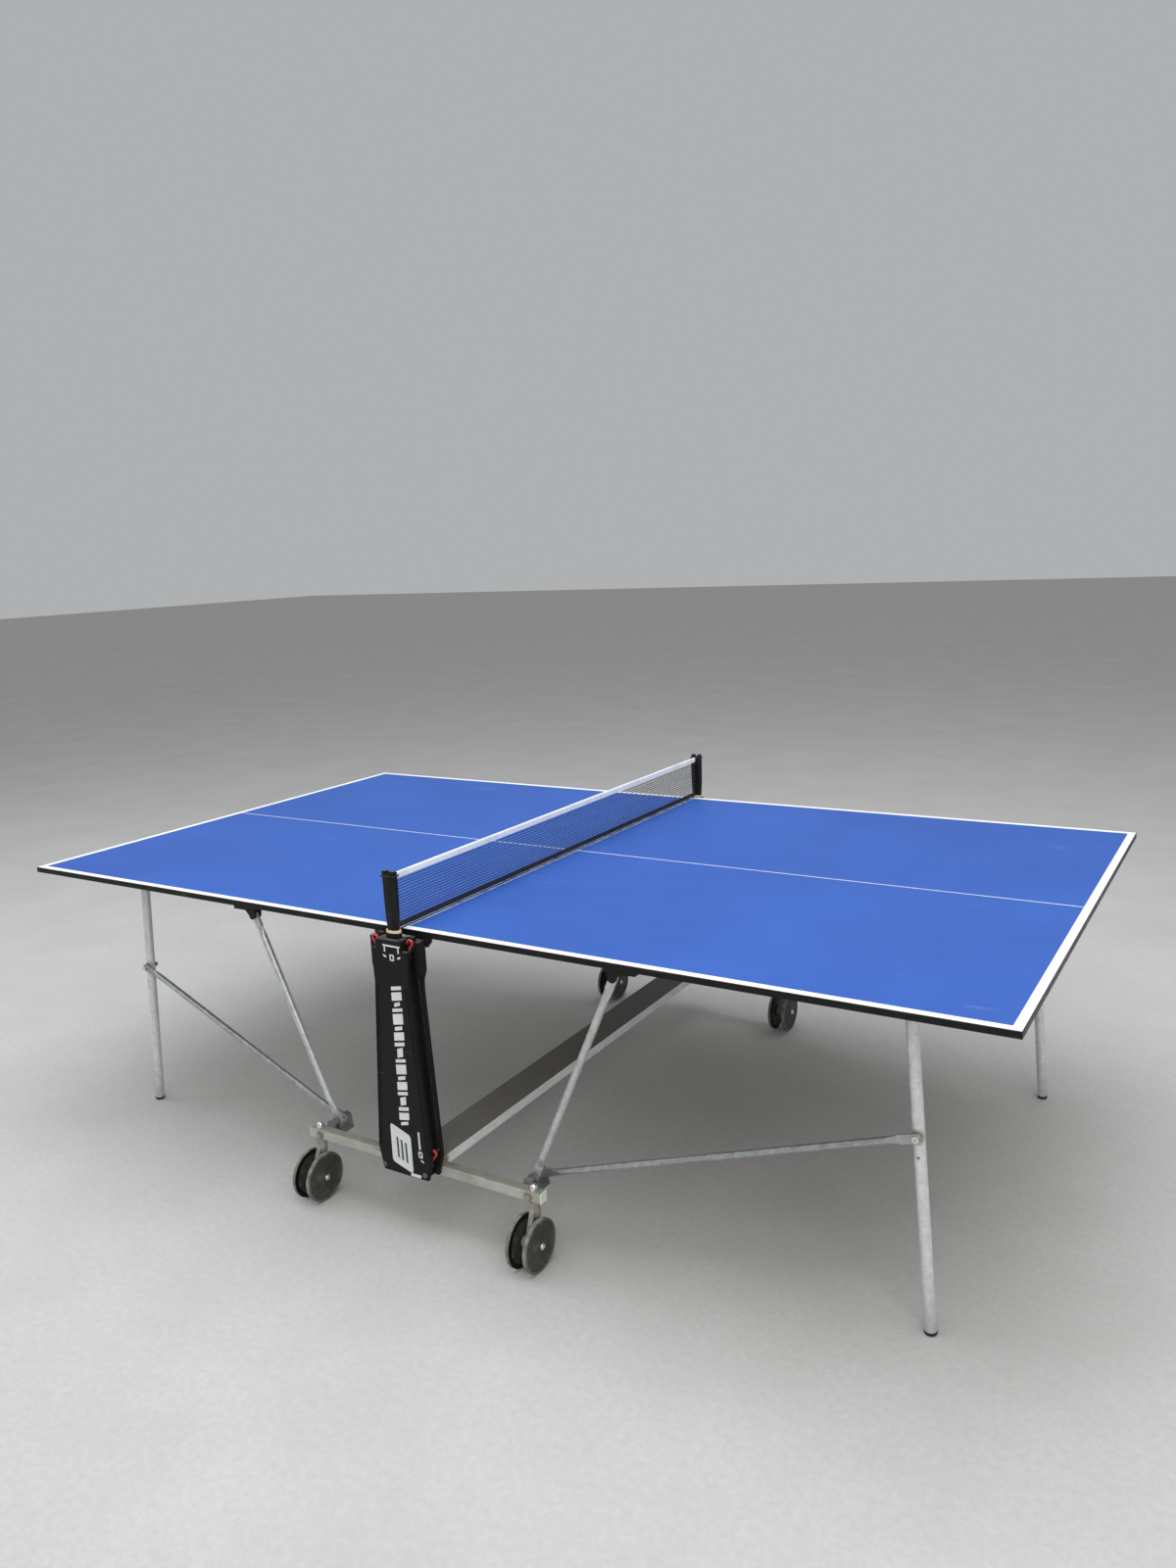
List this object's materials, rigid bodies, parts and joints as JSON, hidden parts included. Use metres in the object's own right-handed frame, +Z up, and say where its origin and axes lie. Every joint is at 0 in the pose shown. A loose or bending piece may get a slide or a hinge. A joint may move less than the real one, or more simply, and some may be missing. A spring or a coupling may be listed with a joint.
{
  "type": "ping pong table",
  "caption": "Folding table tennis table on casters with a blue lined top in two halves, hinged legs, struts, guide towers and a net.",
  "frame": {"origin": "on the floor, under the middle of the net", "axes": "+X along the table's length, +Y across its width, +Z up"},
  "size_m": [2.74, 1.655, 0.904],
  "materials": {
    "blue_top": "matte blue playing lacquer with white court lines",
    "black_edge": "satin black paint",
    "black_steel": "satin black paint",
    "black_plastic": "fine textured black",
    "tower_black": "coarse textured black moulding",
    "cap_plastic": "worn grey",
    "cream_plastic": "aged cream",
    "red_plastic": "satin red",
    "grey_tube": "weathered light grey paint",
    "zinc_tube": "dull zinc plate",
    "grey_rail": "weathered light grey paint, rust at the bolts",
    "beam_paint": "weathered grey-brown paint",
    "bolt_steel": "zinc plate with light rust",
    "fork_steel": "dark paint, rusted",
    "wheel_rubber": "dark grey, dusty tread",
    "net_tape": "white woven tape",
    "net_mesh": "dark navy knotless mesh",
    "net_band": "black woven band"
  },
  "bodies": {
    "frame": {"near_rail": "grey_rail", "far_rail": "grey_rail", "cross_beam": "beam_paint", "rail_end_caps": "cap_plastic", "near_tower_front": "tower_black", "near_tower_back": "tower_black", "far_tower_front": "tower_black", "far_tower_back": "tower_black", "tower_screws": "bolt_steel", "near_net_post": "black_plastic", "far_net_post": "black_plastic", "post_collars": "cream_plastic", "net_tape": "net_tape", "net_mesh": "net_mesh", "net_band": "net_band", "caster_stems": "bolt_steel", "rail_bolts": "bolt_steel", "pivot_brackets": "grey_rail"},
    "right_carriage": {"right_sliders": "black_plastic"},
    "right_top": {"right_board": "blue_top", "right_edge_band": "black_edge", "right_guide_brackets": "black_steel", "right_hinge_blocks": "black_plastic", "right_leg_brackets": "black_plastic"},
    "right_strut_pair": {"right_struts": "grey_tube"},
    "right_legs": {"right_leg_frame": "grey_tube", "right_foot_caps": "black_plastic", "right_leg_bolts": "bolt_steel"},
    "right_stay_pair": {"right_stays": "zinc_tube"},
    "left_carriage": {"left_sliders": "black_plastic"},
    "left_top": {"left_board": "blue_top", "left_edge_band": "black_edge", "left_guide_brackets": "black_steel", "left_hinge_blocks": "black_plastic", "left_leg_brackets": "black_plastic"},
    "left_strut_pair": {"left_struts": "grey_tube"},
    "left_legs": {"left_leg_frame": "grey_tube", "left_foot_caps": "black_plastic", "left_leg_bolts": "bolt_steel"},
    "left_stay_pair": {"left_stays": "zinc_tube"},
    "near_right_caster": {"near_right_fork": "fork_steel", "near_right_axle": "bolt_steel"},
    "near_right_roller": {"near_right_wheels": "wheel_rubber"},
    "near_left_caster": {"near_left_fork": "fork_steel", "near_left_axle": "bolt_steel"},
    "near_left_roller": {"near_left_wheels": "wheel_rubber"},
    "far_right_caster": {"far_right_fork": "fork_steel", "far_right_axle": "bolt_steel"},
    "far_right_roller": {"far_right_wheels": "wheel_rubber"},
    "far_left_caster": {"far_left_fork": "fork_steel", "far_left_axle": "bolt_steel"},
    "far_left_roller": {"far_left_wheels": "wheel_rubber"},
    "near_right_upper_latch_body": {"near_right_upper_latch": "red_plastic"},
    "near_left_upper_latch_body": {"near_left_upper_latch": "red_plastic"},
    "far_right_upper_latch_body": {"far_right_upper_latch": "red_plastic"},
    "far_left_upper_latch_body": {"far_left_upper_latch": "red_plastic"},
    "near_right_lower_latch_body": {"near_right_lower_latch": "red_plastic"},
    "near_left_lower_latch_body": {"near_left_lower_latch": "red_plastic"},
    "far_right_lower_latch_body": {"far_right_lower_latch": "red_plastic"},
    "far_left_lower_latch_body": {"far_left_lower_latch": "red_plastic"}
  },
  "joints": [
    {"name": "right_slide", "type": "slide", "parent": "frame", "child": "right_carriage", "axis": [0.0574, 0, -0.9983], "range_m": [0, 0.5048]},
    {"name": "right_fold", "type": "hinge", "parent": "right_carriage", "child": "right_top", "pos_m": [0.045, 0, 0.734], "axis": [0, -1, 0], "range_deg": [0, 90]},
    {"name": "right_strut_swing", "type": "hinge", "parent": "right_top", "child": "right_strut_pair", "pos_m": [0.535, 0, 0.708], "axis": [0, -1, 0], "range_deg": [-45.22, 0]},
    {"name": "right_leg_fold", "type": "hinge", "parent": "right_top", "child": "right_legs", "pos_m": [1.127, 0, 0.726], "axis": [0, -1, 0], "range_deg": [-61.8, 0]},
    {"name": "right_stay_swing", "type": "hinge", "parent": "right_legs", "child": "right_stay_pair", "pos_m": [1.1474, 0, 0.433], "axis": [0, -1, 0], "range_deg": [0, 49.7]},
    {"name": "left_slide", "type": "slide", "parent": "frame", "child": "left_carriage", "axis": [-0.0574, 0, -0.9983], "range_m": [0, 0.5048]},
    {"name": "left_fold", "type": "hinge", "parent": "left_carriage", "child": "left_top", "pos_m": [-0.045, 0, 0.734], "axis": [0, 1, 0], "range_deg": [0, 90]},
    {"name": "left_strut_swing", "type": "hinge", "parent": "left_top", "child": "left_strut_pair", "pos_m": [-0.535, 0, 0.708], "axis": [0, 1, 0], "range_deg": [-45.22, 0]},
    {"name": "left_leg_fold", "type": "hinge", "parent": "left_top", "child": "left_legs", "pos_m": [-1.127, 0, 0.726], "axis": [0, 1, 0], "range_deg": [-61.8, 0]},
    {"name": "left_stay_swing", "type": "hinge", "parent": "left_legs", "child": "left_stay_pair", "pos_m": [-1.1474, 0, 0.433], "axis": [0, 1, 0], "range_deg": [0, 49.7]},
    {"name": "near_right_swivel", "type": "hinge", "parent": "frame", "child": "near_right_caster", "pos_m": [0.327, -0.7535, 0.145], "axis": [0, 0, 1], "continuous": true},
    {"name": "near_right_roll", "type": "hinge", "parent": "near_right_caster", "child": "near_right_roller", "pos_m": [0.327, -0.7775, 0.0625], "axis": [1, 0, 0], "continuous": true},
    {"name": "near_left_swivel", "type": "hinge", "parent": "frame", "child": "near_left_caster", "pos_m": [-0.327, -0.7535, 0.145], "axis": [0, 0, 1], "continuous": true},
    {"name": "near_left_roll", "type": "hinge", "parent": "near_left_caster", "child": "near_left_roller", "pos_m": [-0.327, -0.7775, 0.0625], "axis": [1, 0, 0], "continuous": true},
    {"name": "far_right_swivel", "type": "hinge", "parent": "frame", "child": "far_right_caster", "pos_m": [0.327, 0.7535, 0.145], "axis": [0, 0, 1], "continuous": true},
    {"name": "far_right_roll", "type": "hinge", "parent": "far_right_caster", "child": "far_right_roller", "pos_m": [0.327, 0.7295, 0.0625], "axis": [1, 0, 0], "continuous": true},
    {"name": "far_left_swivel", "type": "hinge", "parent": "frame", "child": "far_left_caster", "pos_m": [-0.327, 0.7535, 0.145], "axis": [0, 0, 1], "continuous": true},
    {"name": "far_left_roll", "type": "hinge", "parent": "far_left_caster", "child": "far_left_roller", "pos_m": [-0.327, 0.7295, 0.0625], "axis": [1, 0, 0], "continuous": true},
    {"name": "near_right_upper_latch_turn", "type": "hinge", "parent": "frame", "child": "near_right_upper_latch_body", "pos_m": [0.046, -0.7955, 0.707], "axis": [0, 1, 0], "range_deg": [0, 20], "stiffness_Nm_per_rad": 0.03, "springref_deg": -20.05},
    {"name": "near_left_upper_latch_turn", "type": "hinge", "parent": "frame", "child": "near_left_upper_latch_body", "pos_m": [-0.046, -0.7955, 0.707], "axis": [0, -1, 0], "range_deg": [0, 20], "stiffness_Nm_per_rad": 0.03, "springref_deg": -20.05},
    {"name": "far_right_upper_latch_turn", "type": "hinge", "parent": "frame", "child": "far_right_upper_latch_body", "pos_m": [0.046, 0.7955, 0.707], "axis": [0, 1, 0], "range_deg": [0, 20], "stiffness_Nm_per_rad": 0.03, "springref_deg": -20.05},
    {"name": "far_left_upper_latch_turn", "type": "hinge", "parent": "frame", "child": "far_left_upper_latch_body", "pos_m": [-0.046, 0.7955, 0.707], "axis": [0, -1, 0], "range_deg": [0, 20], "stiffness_Nm_per_rad": 0.03, "springref_deg": -20.05},
    {"name": "near_right_lower_latch_turn", "type": "hinge", "parent": "frame", "child": "near_right_lower_latch_body", "pos_m": [0.066, -0.7955, 0.196], "axis": [0, 1, 0], "range_deg": [0, 20], "stiffness_Nm_per_rad": 0.03, "springref_deg": -20.05},
    {"name": "near_left_lower_latch_turn", "type": "hinge", "parent": "frame", "child": "near_left_lower_latch_body", "pos_m": [-0.066, -0.7955, 0.196], "axis": [0, -1, 0], "range_deg": [0, 20], "stiffness_Nm_per_rad": 0.03, "springref_deg": -20.05},
    {"name": "far_right_lower_latch_turn", "type": "hinge", "parent": "frame", "child": "far_right_lower_latch_body", "pos_m": [0.066, 0.7955, 0.196], "axis": [0, 1, 0], "range_deg": [0, 20], "stiffness_Nm_per_rad": 0.03, "springref_deg": -20.05},
    {"name": "far_left_lower_latch_turn", "type": "hinge", "parent": "frame", "child": "far_left_lower_latch_body", "pos_m": [-0.066, 0.7955, 0.196], "axis": [0, -1, 0], "range_deg": [0, 20], "stiffness_Nm_per_rad": 0.03, "springref_deg": -20.05}
  ],
  "couplings": [
    {"joint": "right_slide", "follows": "right_fold", "m_per_rad": 0.32136},
    {"joint": "right_strut_swing", "follows": "right_fold", "ratio": -0.50244},
    {"joint": "right_leg_fold", "follows": "right_fold", "ratio": -0.68666},
    {"joint": "right_stay_swing", "follows": "right_fold", "ratio": 0.55222},
    {"joint": "left_slide", "follows": "left_fold", "m_per_rad": 0.32136},
    {"joint": "left_strut_swing", "follows": "left_fold", "ratio": -0.50244},
    {"joint": "left_leg_fold", "follows": "left_fold", "ratio": -0.68666},
    {"joint": "left_stay_swing", "follows": "left_fold", "ratio": 0.55222}
  ]
}
